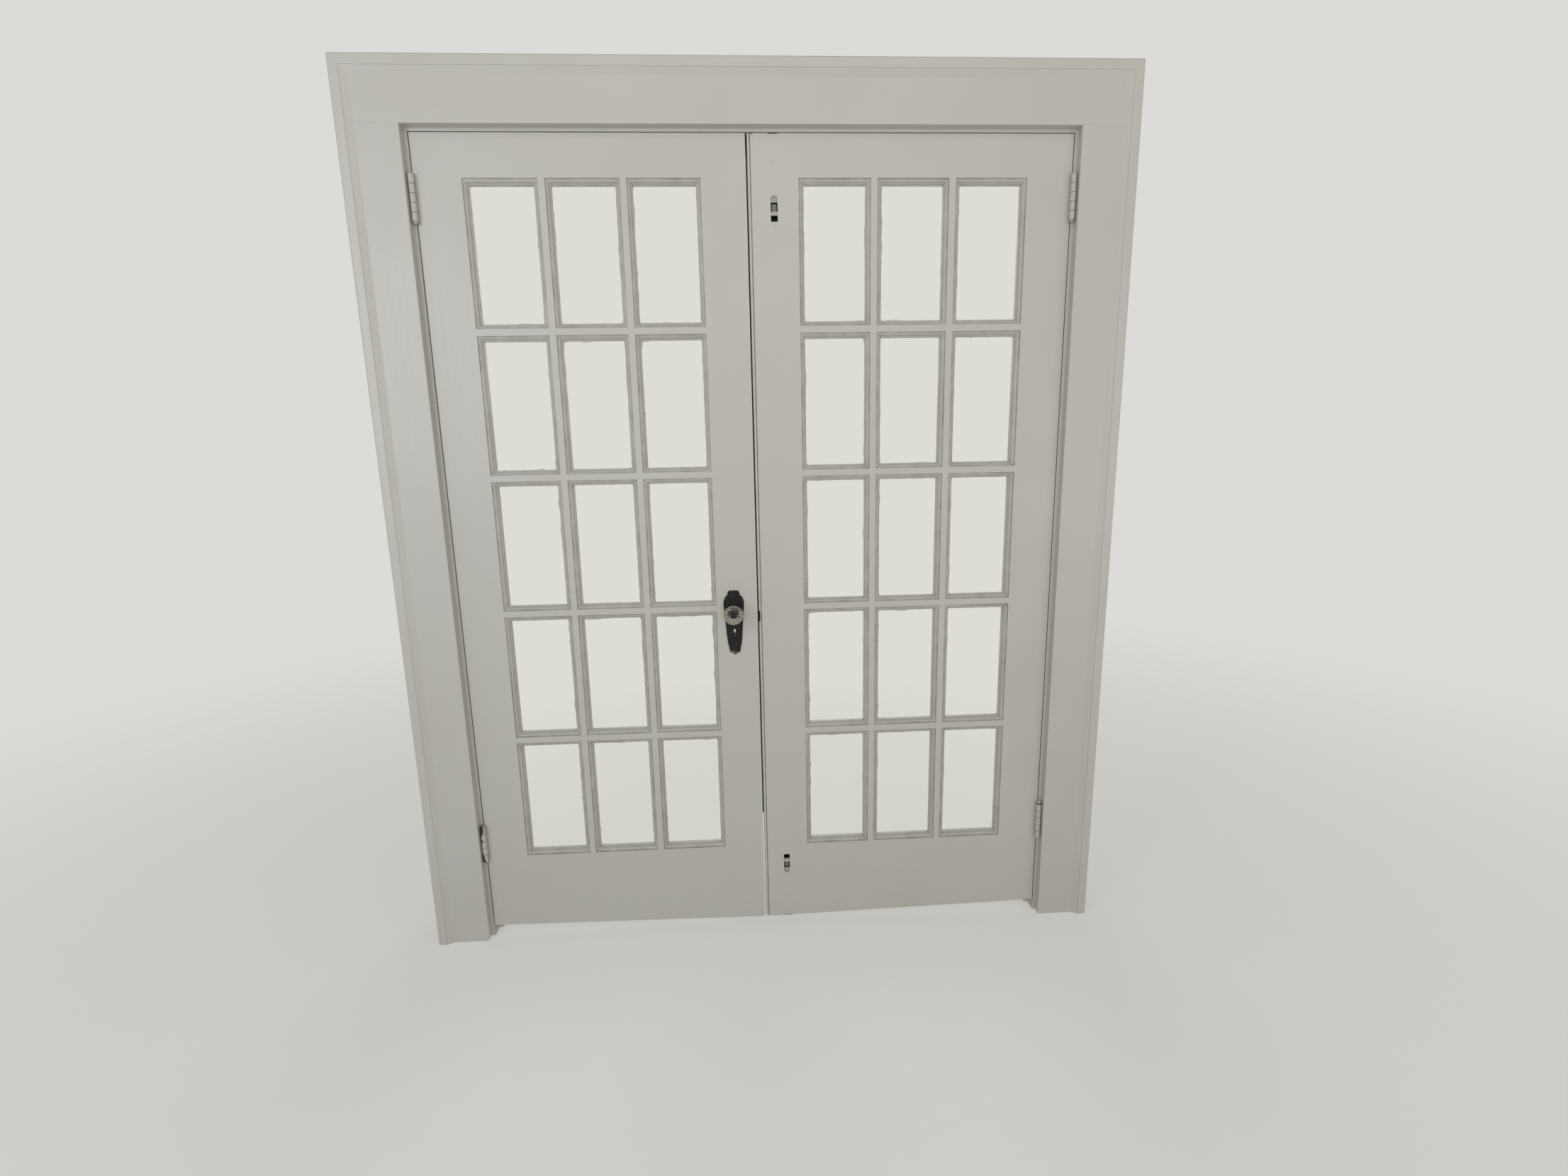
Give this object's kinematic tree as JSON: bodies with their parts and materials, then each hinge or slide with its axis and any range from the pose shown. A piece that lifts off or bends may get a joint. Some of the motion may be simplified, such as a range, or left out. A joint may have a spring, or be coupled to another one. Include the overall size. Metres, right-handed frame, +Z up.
{
  "type": "french doors",
  "caption": "Glazed french doors hung in a cased wooden frame, with butt hinges, a mortise lock with glass knobs, and flush bolts.",
  "frame": {"origin": "on the floor, under the middle of the whole object's width and depth", "axes": "+Z up, +X to the right seen from the front, -Y towards the viewer, the side the leaves open to"},
  "size_m": [1.8372, 0.2214, 2.2019],
  "materials": {
    "painted_wood": "semi-gloss paint",
    "window_glass": "clear",
    "knob_glass": "clear pressed",
    "knob_metal": "tarnished",
    "black_iron": "satin black",
    "painted_steel": "worn semi-gloss paint",
    "bare_steel": "dull"
  },
  "bodies": {
    "frame": {"left_jamb": "painted_wood", "right_jamb": "painted_wood", "head_jamb": "painted_wood", "left_stop": "painted_wood", "right_stop": "painted_wood", "head_stop": "painted_wood", "left_casing": "painted_wood", "right_casing": "painted_wood", "head_casing": "painted_wood", "left_back_band": "painted_wood", "right_back_band": "painted_wood", "head_back_band": "painted_wood", "left_rear_casing": "painted_wood", "right_rear_casing": "painted_wood", "head_rear_casing": "painted_wood", "left_jamb_hinge_plates": "painted_steel", "right_jamb_hinge_plates": "painted_steel", "hinge_pins": "painted_steel", "frame_screws": "painted_steel", "bolt_keeper": "bare_steel"},
    "left_leaf": {"left_hinge_stile": "painted_wood", "left_lock_stile": "painted_wood", "left_top_rail": "painted_wood", "left_bottom_rail": "painted_wood", "left_upright_bars": "painted_wood", "left_cross_bars": "painted_wood", "left_panes": "window_glass", "left_beads": "painted_wood", "left_leaf_hinge_plates": "painted_steel", "left_leaf_screws": "painted_steel", "lock_case": "bare_steel", "lock_cover": "bare_steel", "lock_face_plate": "black_iron", "latch_spring": "bare_steel", "front_escutcheon": "black_iron", "rear_escutcheon": "black_iron"},
    "knob": {"lock_hub": "bare_steel", "spindle": "bare_steel", "front_knob_shank": "knob_metal", "rear_knob_shank": "knob_metal", "front_knob": "knob_glass", "rear_knob": "knob_glass"},
    "latch_bolt": {"latch_bolt": "bare_steel"},
    "dead_bolt": {"dead_bolt": "bare_steel"},
    "right_leaf": {"right_hinge_stile": "painted_wood", "right_meeting_stile": "painted_wood", "right_top_rail": "painted_wood", "right_bottom_rail": "painted_wood", "right_upright_bars": "painted_wood", "right_cross_bars": "painted_wood", "right_panes": "window_glass", "right_beads": "painted_wood", "right_leaf_hinge_plates": "painted_steel", "right_leaf_screws": "painted_steel", "strike_plate": "black_iron", "top_flush_plate": "painted_steel", "bottom_flush_plate": "painted_steel", "bolt_guides": "bare_steel"},
    "top_flush_bolt": {"top_flush_bolt": "bare_steel"},
    "bottom_flush_bolt": {"bottom_flush_bolt": "bare_steel"}
  },
  "joints": [
    {"name": "left_leaf_swing", "type": "hinge", "parent": "frame", "child": "left_leaf", "pos_m": [-0.77295, -0.06035, 0], "axis": [0, 0, -1], "range_deg": [0, 145]},
    {"name": "right_leaf_swing", "type": "hinge", "parent": "frame", "child": "right_leaf", "pos_m": [0.77295, -0.06035, 0], "axis": [0, 0, 1], "range_deg": [0, 145]},
    {"name": "knob_turn", "type": "hinge", "parent": "left_leaf", "child": "knob", "pos_m": [-0.06995, -0.03485, 0.92], "axis": [0, -1, 0], "range_deg": [0, 50]},
    {"name": "latch_slide", "type": "slide", "parent": "left_leaf", "child": "latch_bolt", "axis": [1, 0, 0], "range_m": [0, 0.012]},
    {"name": "dead_bolt_slide", "type": "slide", "parent": "left_leaf", "child": "dead_bolt", "axis": [1, 0, 0], "range_m": [0, 0.012]},
    {"name": "top_flush_bolt_slide", "type": "slide", "parent": "right_leaf", "child": "top_flush_bolt", "axis": [0, 0, 1], "range_m": [0, 0.016]},
    {"name": "bottom_flush_bolt_slide", "type": "slide", "parent": "right_leaf", "child": "bottom_flush_bolt", "axis": [0, 0, -1], "range_m": [0, 0.016]}
  ],
  "couplings": [
    {"joint": "latch_slide", "follows": "knob_turn", "m_per_rad": 0.01375}
  ]
}
